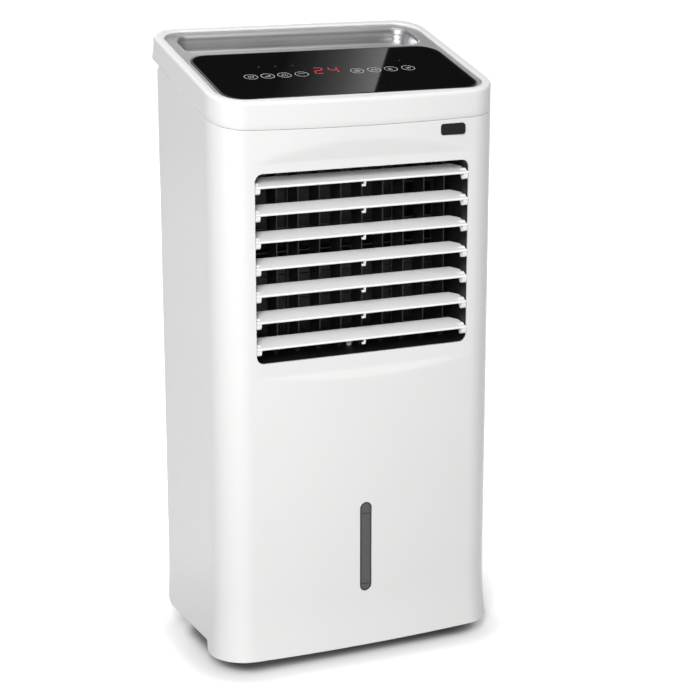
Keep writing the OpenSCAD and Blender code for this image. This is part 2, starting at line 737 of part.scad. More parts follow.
module water_tank() {
    half = tank_w / 2;
    top = tank_z0 + tank_h;
    grip_w = 96;
    grip_z0 = 140;
    grip_z1 = 168;
    grip_y = rear_y - 18;
    color([0.85, 0.9, 0.95]) difference() {
        union() {
            difference() {
                block([-half, tank_front_y, tank_z0], [half, rear_y - 2, top]);
                block([-half + tank_wall, tank_front_y + tank_wall, tank_z0 + tank_wall],
                      [half - tank_wall, rear_y - 3.4, top + 1]);
            }
            upright_slab(tank_face_w, tank_face_z0, tank_face_z1, 3, rear_y - 3.4, rear_y);
            block([-grip_w / 2 - 2, grip_y - 2, grip_z0 - 2], [grip_w / 2 + 2, rear_y - 1, grip_z1 + 2]);
            translate([float_x, float_y, tank_z0 + 1]) cylinder(r = 3, h = 104);
            translate([float_x, float_y, tank_z0 + 103]) cylinder(r = 6, h = 3);
        }
        block([-grip_w / 2, grip_y, grip_z0], [grip_w / 2, rear_y + 1, grip_z1]);
        // vertical track of the level float's magnet
        translate([float_x, float_y, tank_z0 + 20]) cylinder(r = 1.2, h = 88);
    }
}

module tank_latch() {
    color("lightgray") {
        rod_y(2.5, rear_y - 5, rear_y + 2, 0, 192);
        rod_y(5, rear_y - 6.5, rear_y - 3, 0, 192);
        translate([0, rear_y + 4, 192]) rotate([90, 0, 0]) linear_extrude(3.7) {
            circle(6);
            translate([0, -4]) square([26, 8]);
            translate([26, 0]) circle(4);
        }
    }
}

module level_float() {
    color("orangered") translate([float_x, float_y, tank_z0 + tank_wall + 0.1]) difference() {
        cylinder(r = 13, h = 14);
        translate([0, 0, -1]) cylinder(r = 3.08, h = 16);
    }
}

module cord_gland() {
    x = -137.4;
    z = 56;
    color("dimgray") difference() {
        union() {
            rod_y(5.5, back_y - 10, back_y + 9, x, z);
            rod_y(7.6, back_y, back_y + 3.5, x, z);
            rod_y(7.6, back_y - 7.5, back_y - panel_t, x, z);
        }
        rod_y(3.7, back_y - 11, back_y + 10, x, z);
    }
}

module screws() {
    color("silver") for (side = [-1, 1], z = screw_z) difference() {
        union() {
            rod_y(screw_r, back_y - 18, back_y + 1, side * screw_x, z);
            rod_y(3.5, back_y, back_y + 2.2, side * screw_x, z);
        }
        translate([side * screw_x, back_y + 1.2, z]) for (a = [0, 90]) rotate([0, a, 0])
            translate([-2.2, 0, -0.4]) cube([4.4, 2, 0.8]);
    }
}

// ---------------------------------------------------------------- casters

// Casters 1 and 2 are at the front, 3 and 4 at the back; odd ones on the left.
module at_caster(i) {
    translate([i % 2 == 1 ? -caster_x : caster_x, caster_y[i > 2 ? 1 : 0], 0]) children();
}

module caster_fork(i) {
    r = wheel_d / 2;
    color("dimgray") at_caster(i) {
        translate([0, 0, base_z - 1]) cylinder(r = stem_r, h = 16);
        translate([0, 0, base_z - 3.8]) cylinder(r = 13, h = 3.5);
        for (x = [-10.2, 8.2]) translate([x, 0, 0]) rotate([90, 0, 90]) linear_extrude(2) {
            polygon([[-7, base_z - 3], [-7, base_z - 6], [trail - 4.6, r - 2], [trail + 4.6, r + 2], [12, base_z - 3]]);
            translate([trail, r]) circle(5);
        }
        rod_x(axle_r, -9, 9, trail, r);
    }
}

module caster_wheel(i) {
    r = wheel_d / 2;
    half = 7.5;
    color([0.2, 0.2, 0.22]) at_caster(i) translate([0, trail, r]) rotate([0, 90, 0])
        rotate_extrude($fn = 64) polygon([[axle_r + fit, -half], [6, -half], [6, -half + 1.5], [r - 4, -half + 1.5],
            [r - 4, -half], [r - 1.5, -half], [r, -half + 1.5], [r, half - 1.5], [r - 1.5, half], [r - 4, half],
            [r - 4, half - 1.5], [6, half - 1.5], [6, half], [axle_r + fit, half]]);
}

// ---------------------------------------------------------------- nodes

front_shell();
rear_housing();
base_tray();
mid_deck();
head_ring();
head_deck();
trim_insert();
control_glass();
control_board();
display_led();
power_board();
ir_window();
gauge_window();
outlet_frame();
louvre_link();
vane_link();
swing_motor();
swing_crank();
duct_frame();
blower_housing();
blower_wheel();
motor_shaft();
fan_motor();
cooling_pad();
pad_frame();
rear_grille();
dust_filter();
water_distributor();
riser_tube();
water_pump();
water_tank();
tank_latch();
level_float();
cord_gland();
screws();
for (i = [1:louvre_count]) louvre(i);
for (i = [1:vane_count]) vane(i);
for (i = [1:4]) caster_fork(i);
for (i = [1:4]) caster_wheel(i);
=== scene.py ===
import json
import math

import bmesh
import bpy
import numpy as np
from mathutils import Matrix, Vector
from mathutils.geometry import delaunay_2d_cdt


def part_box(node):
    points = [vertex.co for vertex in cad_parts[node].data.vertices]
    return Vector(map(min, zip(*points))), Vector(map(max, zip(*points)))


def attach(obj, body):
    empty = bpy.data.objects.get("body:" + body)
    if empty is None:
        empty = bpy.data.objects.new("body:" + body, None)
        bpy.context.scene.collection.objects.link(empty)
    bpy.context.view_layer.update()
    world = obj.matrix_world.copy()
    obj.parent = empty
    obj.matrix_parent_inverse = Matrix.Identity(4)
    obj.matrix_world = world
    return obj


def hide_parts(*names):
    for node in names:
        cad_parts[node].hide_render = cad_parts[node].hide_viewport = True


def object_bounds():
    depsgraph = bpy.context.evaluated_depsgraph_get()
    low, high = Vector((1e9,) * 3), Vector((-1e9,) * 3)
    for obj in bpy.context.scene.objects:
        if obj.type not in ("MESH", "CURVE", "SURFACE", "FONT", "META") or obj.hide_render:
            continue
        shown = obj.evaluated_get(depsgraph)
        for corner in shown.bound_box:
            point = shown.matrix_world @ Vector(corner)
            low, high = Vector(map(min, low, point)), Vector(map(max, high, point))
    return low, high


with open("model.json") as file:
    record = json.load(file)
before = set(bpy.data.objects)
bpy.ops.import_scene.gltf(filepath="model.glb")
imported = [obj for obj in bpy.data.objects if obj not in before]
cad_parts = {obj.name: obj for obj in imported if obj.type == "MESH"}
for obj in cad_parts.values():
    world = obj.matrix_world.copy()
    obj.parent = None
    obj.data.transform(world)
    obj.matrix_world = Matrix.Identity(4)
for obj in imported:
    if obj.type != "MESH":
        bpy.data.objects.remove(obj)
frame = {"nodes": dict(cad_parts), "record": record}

CAD_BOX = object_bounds()
MM = 0.001
NODES = frame["nodes"]
# The body that every piece made here rides on, and how close two points are to be one.
ROOT = "cabinet"
WELD = 1e-6

# ---------------------------------------------------------------- sizes, in metres, from the frame

shell_low, shell_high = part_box("front_shell")
ring_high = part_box("head_ring")[1]
WALL = 2.6 * MM

# The cabinet's plan is a slightly bowed front, two corner arcs and two straight sides. Its hem flares out.
FLARE, FLARE_H = 3.5 * MM, 58 * MM
HALF_W = shell_high.x - FLARE
FRONT_Y = shell_low.y + FLARE
BACK_Y = shell_high.y
HEM_Z = shell_low.z
SIDE_HEM_Z = HEM_Z + 11 * MM
FRONT_R, CORNER_R = 1.5, 34 * MM
CORNER_X = HALF_W - CORNER_R
BOW = math.asin(CORNER_X / (FRONT_R - CORNER_R))
CORNER_Y = FRONT_Y + FRONT_R - math.sqrt((FRONT_R - CORNER_R) ** 2 - CORNER_X ** 2)

# Lengths along the plan, from the front's middle to the end of the bow and to the end of the corner, and the
# length of a side.
BOW_LEN = FRONT_R * BOW
SIDE_S = BOW_LEN + CORNER_R * (math.pi / 2 - BOW)
SIDE_LEN = BACK_Y - CORNER_Y

# The front's openings: the air outlet in its shallow recess, the gauge's slot and the receiver's eye.
OUTLET_Y = FRONT_Y + 4.3 * MM
OUTLET_Z0, OUTLET_Z1 = 315.5 * MM, 499 * MM
OUTLET_HALF, OUTLET_R = 113.5 * MM, 8 * MM
FLAT_ABOVE, SLOPE_ABOVE = 9 * MM, math.radians(13)
FLAT_BELOW, SLOPE_BELOW = 14 * MM, math.radians(24)
SLOT_Z0, SLOT_Z1, SLOT_R = 69.2 * MM, 163.2 * MM, 6.49 * MM
EYE_X, EYE_HALF, EYE_R = 94 * MM, 13.5 * MM, 3 * MM
EYE_Z0, EYE_Z1 = 524.5 * MM, 535.5 * MM

# The head's top plane climbs to the back by HEAD_TILT, and the seam under its band by LOW_TILT.
HEAD_TILT, LOW_TILT = math.radians(15.5), math.radians(16.4)
BAND_H = 26 * MM
REAR_LEAN, REAR_R = 5.8 * MM, 28 * MM
HEAD_LEN = (ring_high.y - FRONT_Y - REAR_LEAN) / math.cos(HEAD_TILT)
HEAD_Z = ring_high.z - HEAD_LEN * math.sin(HEAD_TILT)
RIM, RIM_FRONT, RIM_R = 9.5 * MM, 12.5 * MM, 25.5 * MM

# The parts in the head's top, as half widths, spans up the slope, corner radii and heights.
GLASS_HALF, GLASS_V0, GLASS_V1, GLASS_R = 135 * MM, 15.5 * MM, 133 * MM, 21 * MM
GLASS_TOP = -1.7 * MM
TROUGH_HALF, TROUGH_V0, TROUGH_V1, TROUGH_R = 127 * MM, 138 * MM, 184 * MM, 14 * MM
TROUGH_DEPTH = 18 * MM


# ---------------------------------------------------------------- materials

def new_material(name):
    mat = bpy.data.materials.new(name)
    mat.use_nodes = True
    nodes = mat.node_tree.nodes
    return mat, nodes, mat.node_tree.links, nodes["Principled BSDF"]


def add_noise(nodes, links, scale, detail=3.0):
    """A noise in the object's own coordinates, in metres."""
    coord = nodes.new("ShaderNodeTexCoord")
    noise = nodes.new("ShaderNodeTexNoise")
    noise.inputs["Scale"].default_value = scale
    noise.inputs["Detail"].default_value = detail
    links.new(coord.outputs["Object"], noise.inputs["Vector"])
    return noise


def ramp_through(nodes, links, source, stops):
    """A ramp through (place, RGBA) stops, in rising order."""
    ramp = nodes.new("ShaderNodeValToRGB")
    elements = ramp.color_ramp.elements
    while len(elements) < len(stops):
        elements.new(0.5)
    for element, (place, colour) in zip(elements, stops):
        element.position, element.color = place, colour
    links.new(source, ramp.inputs["Fac"])
    return ramp.outputs["Color"]


def greys(stops):
    """RGBA stops from (place, grey) stops."""
    return [(place, (grey, grey, grey, 1)) for place, grey in stops]


def tinted(colour, factor):
    """A colour made darker or lighter, as RGBA."""
    return tuple(min(c * factor, 1) for c in colour) + (1,)


def tone_between(nodes, links, noise, low, high):
    """A colour that drifts from low to high over the middle of a noise's range."""
    return ramp_through(nodes, links, noise.outputs["Fac"], [(0.3, low), (0.7, high)])


def vary_roughness(nodes, links, noise, shader, low, high):
    span = nodes.new("ShaderNodeMapRange")
    span.inputs["To Min"].default_value, span.inputs["To Max"].default_value = low, high
    links.new(noise.outputs["Fac"], span.inputs["Value"])
    links.new(span.outputs["Result"], shader.inputs["Roughness"])


def plastic(name, colour, rough, grain=900.0, bump=0.02, spread=0.02, coat=0.0, edge=0.0, gloss=0.5):
    """Moulded plastic: a faint cloudy tone, a fine grain in its roughness and a fine bump. Where edge is
    given, the shading rounds the piece's edges to that radius."""
    mat, nodes, links, shader = new_material(name)
    cloud = add_noise(nodes, links, 9.0)
    tone = tone_between(nodes, links, cloud, tinted(colour, 1 - spread), tinted(colour, 1 + spread))
    links.new(tone, shader.inputs["Base Color"])
    fine = add_noise(nodes, links, grain, 2.0)
    vary_roughness(nodes, links, fine, shader, rough * 0.85, rough * 1.12)
    relief = nodes.new("ShaderNodeBump")
    relief.inputs["Strength"].default_value = bump
    relief.inputs["Distance"].default_value = 0.2 * MM
    links.new(fine.outputs["Fac"], relief.inputs["Height"])
    if edge:
        soft = nodes.new("ShaderNodeBevel")
        soft.samples = 4
        soft.inputs["Radius"].default_value = edge
        links.new(soft.outputs["Normal"], relief.inputs["Normal"])
    links.new(relief.outputs["Normal"], shader.inputs["Normal"])
    shader.inputs["Coat Weight"].default_value = coat
    shader.inputs["Coat Roughness"].default_value = 0.08
    shader.inputs["Specular IOR Level"].default_value = gloss
    return mat


def window(name, colour, rough, gloss=0.3):
    """A smooth moulded window or lens."""
    return plastic(name, colour, rough, grain=300, bump=0.005, gloss=gloss)


def metal(name, colour, rough, stretch, scale):
    """Metal or metallised trim with a fine directional grain."""
    mat, nodes, links, shader = new_material(name)
    shader.inputs["Metallic"].default_value = 1.0
    coord = nodes.new("ShaderNodeTexCoord")
    mapping = nodes.new("ShaderNodeMapping")
    mapping.inputs["Scale"].default_value = stretch
    noise = nodes.new("ShaderNodeTexNoise")
    noise.inputs["Scale"].default_value = scale
    links.new(coord.outputs["Object"], mapping.inputs["Vector"])
    links.new(mapping.outputs["Vector"], noise.inputs["Vector"])
    tone = tone_between(nodes, links, noise, tinted(colour, 0.93), tinted(colour, 1))
    links.new(tone, shader.inputs["Base Color"])
    vary_roughness(nodes, links, noise, shader, rough - 0.05, rough + 0.06)
    return mat


def glowing(name, colour, strength):
    """A lit segment: a dark lens with a glow that varies slightly."""
    mat, nodes, links, shader = new_material(name)
    shader.inputs["Base Color"].default_value = (0.02, 0.0, 0.0, 1)
    noise = add_noise(nodes, links, 300.0)
    tone = tone_between(nodes, links, noise, tinted(colour, 0.85), tinted(colour, 1))
    links.new(tone, shader.inputs["Emission Color"])
    shader.inputs["Emission Strength"].default_value = strength
    return mat


BODY_WHITE, BLACK = (0.72, 0.72, 0.715), (0.006, 0.006, 0.0065)

WHITE = plastic("body_white_gloss", BODY_WHITE, 0.26, grain=700, bump=0.012, spread=0.008, coat=0.1)
WHITE_EDGED = plastic("rear_white_satin", BODY_WHITE, 0.33, grain=800, bump=0.03, spread=0.01,
                      edge=0.8 * MM)
INNER = plastic("inner_white_satin", (0.70, 0.70, 0.69), 0.42, bump=0.03)
# painted light: the louvres are lighter than the body's white, to stand in for light they lack inside the
# outlet
LOUVRE_PAINTED_LIGHT = plastic("louvre_white_painted_light", (0.86, 0.86, 0.855), 0.3, bump=0.02, spread=0.01,
                 edge=0.4 * MM)
SILVER = metal("satin_silver", (0.52, 0.52, 0.53), 0.36, (2, 8, 8), 12)
STEEL = metal("zinc_plated", (0.55, 0.55, 0.56), 0.3, (30, 30, 30), 20)
GLASS = plastic("black_control_glass", (0.006, 0.0055, 0.006), 0.02, grain=200, bump=0.0, spread=0.05)
# black plastic for the dark parts, and painted shade on the outlet's frame, which is black to stand in for
# the shade inside the outlet
DARK_AND_PAINTED_SHADE = plastic("black_satin_and_painted_shade", BLACK, 0.5, bump=0.05, spread=0.1)
LENS = window("smoked_lens", (0.02, 0.02, 0.022), 0.3)
SMOKE = window("smoke_grey_window", (0.03, 0.03, 0.032), 0.35)
STRIP = window("sight_strip", (0.075, 0.076, 0.078), 0.3)
RECEIVER = window("receiver_black", BLACK, 0.35, gloss=0.2)
TREAD = plastic("caster_tread", (0.035, 0.035, 0.037), 0.55, bump=0.06, spread=0.12)
BOARD = plastic("board_green", (0.02, 0.12, 0.05), 0.4, spread=0.2)
PAPER = plastic("pad_paper", (0.36, 0.25, 0.13), 0.85, grain=400, bump=0.5, spread=0.2)
CLEAR = plastic("tank_clear", (0.55, 0.60, 0.64), 0.2, bump=0.01, edge=0.8 * MM)
RED = plastic("float_red", (0.55, 0.06, 0.03), 0.4)
PRINT = plastic("white_print", (0.62, 0.63, 0.64), 0.5, spread=0.04)
GLOW = glowing("display_glow", (0.8, 0.012, 0.02), 0.8)
DIM_GLOW = glowing("dim_indicator", (0.5, 0.01, 0.01), 0.2)

SLOT_MATERIALS = {
    "body_white": WHITE, "inner_white": INNER, "louvre_white": LOUVRE_PAINTED_LIGHT, "silver_trim": SILVER,
    "black_glass": GLASS, "board": BOARD, "display": GLASS, "smoke_lens": LENS, "dark_plastic": DARK_AND_PAINTED_SHADE,
    "caster_tread": TREAD, "steel": STEEL, "pad_paper": PAPER, "clear_plastic": CLEAR, "float_red": RED,
}

# These nodes differ in look from the rest of their slot.
NODE_MATERIALS = {
    "ir_window": RECEIVER, "gauge_window": SMOKE, "rear_housing": WHITE_EDGED, "rear_grille": WHITE_EDGED,
    "pad_frame": WHITE_EDGED, "tank_latch": WHITE_EDGED,
}


def dress_cad_nodes():
    """Every CAD node takes its own procedural material, or else its slot's."""
    for part in frame["record"]["subparts"]:
        obj = NODES[part["node"]]
        obj.data.materials.clear()
        material = NODE_MATERIALS.get(part["node"], SLOT_MATERIALS[part["material_slot"]])
        obj.data.materials.append(material)


# ---------------------------------------------------------------- mesh helpers

def make_object(name, verts, faces, material, slot, smooth=True):
    """A new piece of the cabinet from points and faces, cleaned up."""
    mesh = bpy.data.meshes.new(name)
    mesh.from_pydata([tuple(map(float, v)) for v in verts], [], [tuple(int(i) for i in f) for f in faces])
    bm = bmesh.new()
    bm.from_mesh(mesh)
    bmesh.ops.remove_doubles(bm, verts=bm.verts, dist=WELD)
    bmesh.ops.dissolve_degenerate(bm, edges=bm.edges, dist=WELD)
    bmesh.ops.recalc_face_normals(bm, faces=bm.faces)
    bm.to_mesh(mesh)
    bm.free()
    mesh.polygons.foreach_set("use_smooth", [smooth] * len(mesh.polygons))
    mesh.materials.append(material)
    obj = bpy.data.objects.new(name, mesh)
    bpy.context.scene.collection.objects.link(obj)
    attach(obj, ROOT)
    return obj


def skin(rows):
    """Faces between rows of points; each row is a loop."""
    n = len(rows[0])
    verts = [p for row in rows for p in row]
    faces = []
    for r in range(len(rows) - 1):
        for k in range(n):
            a, b = r * n + k, r * n + (k + 1) % n
            faces.append((a, b, b + n, a + n))
    return verts, faces


def prisms(outlines, low, high):
    """A prism for each closed outline. low and high give the places of an outline's point on its two ends."""
    verts, faces = [], []
    for loop in outlines:
        n, start = len(loop), len(verts)
        verts += [low(*p) for p in loop] + [high(*p) for p in loop]
        faces += [tuple(start + k for k in range(n)), tuple(start + n + k for k in reversed(range(n)))]
        faces += [(start + k, start + (k + 1) % n, start + n + (k + 1) % n, start + n + k) for k in range(n)]
    return verts, faces


def quarter(n):
    """(1 - cos, 1 - sin) at n + 1 angles of a quarter turn, for the rows of a rounded edge."""
    angles = [math.pi / 2 * k / n for k in range(n + 1)]
    return [(1 - math.cos(a), 1 - math.sin(a)) for a in angles]


def thicken(obj, thickness):
    """Gives a sheet its thickness, behind its visible side."""
    mod = obj.modifiers.new("wall", "SOLIDIFY")
    mod.thickness = thickness
    mod.offset = -1


def bevel(obj, width, segments, angle):
    """Rounds the edges that are sharper than an angle in degrees."""
    mod = obj.modifiers.new("edge_round", "BEVEL")
    mod.width = width
    mod.segments = segments
    mod.limit_method = "ANGLE"
    mod.angle_limit = math.radians(angle)
    mod.harden_normals = True
    mod.use_clamp_overlap = True


def corner_arc(before, corner, after, radius, step):
    """The points of an arc that rounds a corner, or the corner itself where the radius is 0."""
    if radius <= 0:
        return [corner]
    a = (before - corner) / np.linalg.norm(before - corner)
    b = (after - corner) / np.linalg.norm(after - corner)
    half = math.acos(np.clip(a @ b, -1, 1)) / 2
    cut = radius / math.tan(half)
    mid = (a + b) / np.linalg.norm(a + b)
    centre = corner + mid * radius / math.sin(half)
    start, end = corner + a * cut - centre, corner + b * cut - centre
    sweep = math.pi - 2 * half
    turn = 1 if start[0] * end[1] - start[1] * end[0] > 0 else -1
    count = max(4, int(math.ceil(sweep * radius / step)) + 2)
    arc = []
    for k in range(count + 1):
        t = turn * sweep * k / count
        arc.append(centre + np.array([start[0] * math.cos(t) - start[1] * math.sin(t),
                                      start[0] * math.sin(t) + start[1] * math.cos(t)]))
    return arc


def path_with_arcs(corners, step):
    """A closed path through (x, y, radius) corners, rounded by arcs, with points about a step apart."""
    n = len(corners)
    places = [np.array(corner[:2], float) for corner in corners]
    arcs = [corner_arc(places[i - 1], places[i], places[(i + 1) % n], corners[i][2], step) for i in range(n)]
    out = []
    for i, arc in enumerate(arcs):
        out.extend(arc)
        last, following = arc[-1], arcs[(i + 1) % n][0]
        count = int(np.linalg.norm(following - last) / step)
        out.extend(last + (following - last) * k / count for k in range(1, count))
    return np.array(out)


def rounded_rect(x0, x1, y0, y1, r, step):
    return path_with_arcs([(x0, y0, r), (x1, y0, r), (x1, y1, r), (x0, y1, r)], step)


def inside(points, loop):
    """Which points are within a closed loop, by the number of times that a line from each crosses it."""
    x, y = points[:, 0], points[:, 1]
    hit = np.zeros(len(points), bool)
    for (xi, yi), (xj, yj) in zip(loop, np.roll(loop, 1, axis=0)):
        crosses = (yi > y) != (yj > y)
        with np.errstate(divide="ignore", invalid="ignore"):
            hit ^= crosses & (x < (xj - xi) * (y - yi) / (yj - yi) + xi)
    return hit


def between(points, outer, holes):
    """Which points are within outer and outside the holes."""
    keep = inside(points, outer)
    for hole in holes:
        keep &= ~inside(points, hole)
    return keep


def sheet(outer, holes, xs, ys, clear):
    """Triangulates the area within outer and outside the holes. Its inner points are on a grid of xs and ys,
    further than clear from the loops."""
    loops = [outer] + holes
    edge_points = np.concatenate(loops)
    grid = np.array([(x, y) for x in xs for y in ys])
    grid = grid[between(grid, outer, holes)]
    near = np.array([np.min(np.hypot(*(edge_points - g).T)) for g in grid])
    verts = [Vector(p) for p in np.concatenate([edge_points, grid[near > clear]])]
    edges, start = [], 0
    for loop in loops:
        n = len(loop)
        edges += [(start + k, start + (k + 1) % n) for k in range(n)]
        start += n
    out_verts, _, out_faces, *_ = delaunay_2d_cdt(verts, edges, [], 0, WELD / 10)
    flat = np.array([tuple(v) for v in out_verts])
    centres = np.array([flat[list(f)].mean(axis=0) for f in out_faces])
    return flat, [f for f, keep in zip(out_faces, between(centres, outer, holes)) if keep]


def spaced(stops):
    """Values through (value, step) stops: from each stop to the next at that step."""
    out = []
    for (a, step), (b, _) in zip(stops, stops[1:]):
        n = max(1, round((b - a) / step))
        out += [a + (b - a) * k / n for k in range(n)]
    return np.array(out + [stops[-1][0]])


# ---------------------------------------------------------------- cabinet plan and head frames

def plan_point(s):
    """The plan's point at distance s along it from the front's middle, and its outward direction."""
    a = abs(s)
    if a < BOW_LEN:
        angle, centre, r = a / FRONT_R, (0.0, FRONT_Y + FRONT_R), FRONT_R
    elif a < SIDE_S:
        angle, centre, r = BOW + (a - BOW_LEN) / CORNER_R, (CORNER_X, CORNER_Y), CORNER_R
    else:
        sign = math.copysign(1, s)
        return np.array([sign * HALF_W, CORNER_Y + a - SIDE_S]), np.array([sign, 0.0])
    sign = math.copysign(1, s)
    out = np.array([math.sin(angle), -math.cos(angle)])
    p = np.array(centre) + r * out
    return p * (sign, 1), out * (sign, 1)


def low_plane(y):
    """The height of the seam between the shell and the head."""
    return HEAD_Z - BAND_H + (y - FRONT_Y) * math.tan(LOW_TILT)


def head_point(x, v, w):
    """A point in the tilted head frame: v runs up the slope from the front, w is the height above it."""
    c, s = math.cos(HEAD_TILT), math.sin(HEAD_TILT)
    return np.array([x, FRONT_Y + v * c - w * s, HEAD_Z + v * s + w * c])


def smooth_max(a, b, k):
    """The larger of a and b, blended where they are within about k of each other."""
    return 0.5 * (a + b + np.sqrt((a - b) ** 2 + k * k))


# ---------------------------------------------------------------- cabinet shell

def recess_y(z):
    """The outlet's surround: flat beside the outlet, it slopes forward above and, more steeply, below."""
    above = max(z - (OUTLET_Z1 + FLAT_ABOVE), 0.0) * math.tan(SLOPE_ABOVE)
    below = max((OUTLET_Z0 - FLAT_BELOW) - z, 0.0) * math.tan(SLOPE_BELOW)
    return OUTLET_Y - above - below


def shell_place(s, z):
    """The place of the sheet's point that is s along the plan and z up."""
    p, n = plan_point(s)
    t = min(max((z - HEM_Z) / FLARE_H, 0.0), 1.0)
    p = p + n * FLARE * (1 - t) ** 2
    y = p[1]
    if abs(s) < BOW_LEN:
        y = float(smooth_max(y, recess_y(z), 0.5 * MM))
    return (p[0], y, z)


def arc_s(x):
    """The length along the bowed front from its middle to x."""
    return FRONT_R * math.asin(x / FRONT_R)


def shell():
    """The cabinet's front and sides: a sheet with its openings, cut flat and then bent round the plan."""
    side_end = SIDE_S + SIDE_LEN
    notch = SIDE_S + 12 * MM
    hem_r, foot_r, top_r = 5 * MM, 13 * MM, 5 * MM
    top_gap = 0.1 * MM

    def top_z(s):
        return low_plane(plan_point(s)[0][1]) - top_gap

    right = [(notch - hem_r, HEM_Z, hem_r), (notch, SIDE_HEM_Z, hem_r), (side_end, SIDE_HEM_Z, foot_r)]
    left = [(-s, z, r) for s, z, r in reversed(right)]
    side_step, corner_step, front_step = 8 * MM, 2.5 * MM, 6 * MM
    along = spaced([(side_end, -side_step), (SIDE_S, -corner_step), (BOW_LEN, -front_step),
                    (-BOW_LEN, -corner_step), (-SIDE_S, -side_step), (-side_end, -side_step)])
    top = [(s, top_z(s), top_r if abs(s) == side_end else 0) for s in along]
    outer = path_with_arcs(right + top + left, 4 * MM)

    mouth_half, slot_half, eye_s = arc_s(OUTLET_HALF), SLOT_R + 0.01 * MM, arc_s(EYE_X)
    mouth = rounded_rect(-mouth_half, mouth_half, OUTLET_Z0, OUTLET_Z1, OUTLET_R, 2.5 * MM)
    slot = rounded_rect(-slot_half, slot_half, SLOT_Z0, SLOT_Z1, SLOT_R, 1.5 * MM)
    eye = rounded_rect(eye_s - EYE_HALF, eye_s + EYE_HALF, EYE_Z0, EYE_Z1, EYE_R, 1.2 * MM)

    # The inner points are closer together where the sheet bends: at the corners, the hem and the recess.
    flat_half, low_bend, high_bend = 105 * MM, (284 * MM, 318 * MM), (494 * MM, 526 * MM)
    xs = spaced([(-side_end, 10 * MM), (-SIDE_S, 2.2 * MM), (-BOW_LEN, 2.5 * MM), (-flat_half, 6 * MM),
                 (flat_half, 2.5 * MM), (BOW_LEN, 2.2 * MM), (SIDE_S, 10 * MM), (side_end, 10 * MM)])
    zs = spaced([(HEM_Z, 3.5 * MM), (HEM_Z + FLARE_H, 9 * MM), (low_bend[0], 1.5 * MM), (low_bend[1], 9 * MM),
                 (high_bend[0], 1.5 * MM), (high_bend[1], 5 * MM), (600 * MM, 5 * MM)])
    flat, faces = sheet(outer, [mouth, slot, eye], xs, zs, 1.3 * MM)
    verts = [shell_place(s, z) for s, z in flat]
    obj = make_object("cabinet_shell", verts, faces, WHITE, "body_white")
    thicken(obj, WALL)
    bevel(obj, 0.5 * MM, 3, 50)
    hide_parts("front_shell")


# ---------------------------------------------------------------- head

def arc_points(cx, cy, r, a0, a1, n):
    """Points of an arc, whose angles start at the front and turn towards +X."""
    angles = [a0 + (a1 - a0) * k / n for k in range(n + 1)]
    return [(cx + r * math.sin(a), cy - r * math.cos(a)) for a in angles]


# Steps in each stretch of half a loop round the head, the same for all its loops.
N_FRONT, N_CORNER, N_SIDE, N_REAR = 12, 16, 30, 12


def outer_lines(inset):
    """The head's side surface drawn in by inset: for each point round it, a start on the top plane and a
    direction down, which is upright at the front and square to the top at the back."""
    def lean(t):
        a = HEAD_TILT * t
        return np.array([0, math.sin(a), -math.cos(a)])

    def on_top(x, y):
        return np.array([x, y, HEAD_Z + (y - FRONT_Y) * math.tan(HEAD_TILT)])

    plan = arc_points(0, FRONT_Y + FRONT_R, FRONT_R - inset, 0, BOW, N_FRONT)[:-1]
    plan += arc_points(CORNER_X, CORNER_Y, CORNER_R - inset, BOW, math.pi / 2, N_CORNER)[:-1]
    out = [(on_top(x, y), lean(0)) for x, y in plan]
    v1 = HEAD_LEN - REAR_R
    y1 = FRONT_Y + v1 * math.cos(HEAD_TILT)
    out += [(on_top(HALF_W - inset, CORNER_Y + (y1 - CORNER_Y) * k / N_SIDE), lean(k / N_SIDE))
            for k in range(N_SIDE)]
    rear = arc_points(HALF_W - REAR_R, v1, REAR_R - inset, math.pi / 2, math.pi, N_CORNER)[:-1]
    rear += [((HALF_W - REAR_R) * (1 - k / N_REAR), HEAD_LEN - inset) for k in range(N_REAR + 1)]
    out += [(head_point(x, v, 0), lean(1)) for x, v in rear]
    return out + [(p * (-1, 1, 1), d) for p, d in reversed(out[1:-1])]


def rect_loop(half_w, v0, v1, r, grow=0.0):
    """A rounded rectangle's (x, v) points, as many as in outer_lines, grown outwards by grow."""
    x = half_w - r
    pts = [(x * k / N_FRONT, v0 - grow) for k in range(N_FRONT)]
    pts += arc_points(x, v0 + r, r + grow, 0, math.pi / 2, N_CORNER)[:-1]
    pts += [(half_w + grow, v0 + r + (v1 - v0 - 2 * r) * k / N_SIDE) for k in range(N_SIDE)]
    pts += arc_points(x, v1 - r, r + grow, math.pi / 2, math.pi, N_CORNER)[:-1]
    pts += [(x * (1 - k / N_REAR), v1 + grow) for k in range(N_REAR + 1)]
    pts = [np.array(p) for p in pts]
    return pts + [p * (-1, 1) for p in reversed(pts[1:-1])]


